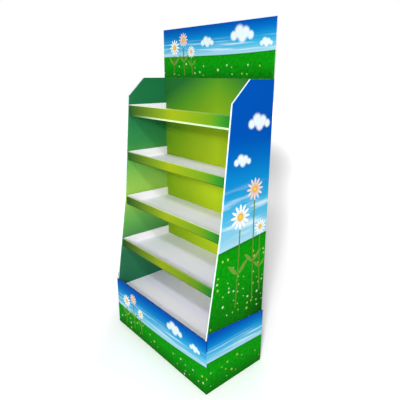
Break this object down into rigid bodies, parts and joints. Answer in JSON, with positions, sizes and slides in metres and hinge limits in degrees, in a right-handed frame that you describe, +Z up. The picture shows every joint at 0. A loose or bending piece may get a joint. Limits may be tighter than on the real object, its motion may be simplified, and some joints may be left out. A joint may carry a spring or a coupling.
{
  "type": "cardboard display stand",
  "caption": "Free-standing shop display of folded corrugated board: lipped shelves hooked between hollow side walls, a deep base in a printed sleeve and a flat header card.",
  "frame": {"origin": "on the floor, at the centre of the base sleeve's outline", "axes": "+Z up, -Y towards the shopper at the open front, +X to the right of someone facing along +Y"},
  "size_m": [0.668, 0.321, 1.4],
  "materials": {
    "printed_wrap": "printed, satin varnish",
    "printed_header": "printed, satin varnish",
    "printed_sleeve": "printed, satin varnish",
    "shelf_board": "white liner, matt",
    "plain_board": "brown liner, matt"
  },
  "bodies": {
    "root": {"body_wrap": "printed_wrap", "header_card": "printed_header", "base_sleeve": "printed_sleeve", "shelf_1": "shelf_board", "shelf_2": "shelf_board", "shelf_3": "shelf_board", "shelf_4": "shelf_board", "base_deck": "shelf_board", "divider_long": "plain_board", "divider_left": "plain_board", "divider_right": "plain_board"}
  },
  "joints": []
}
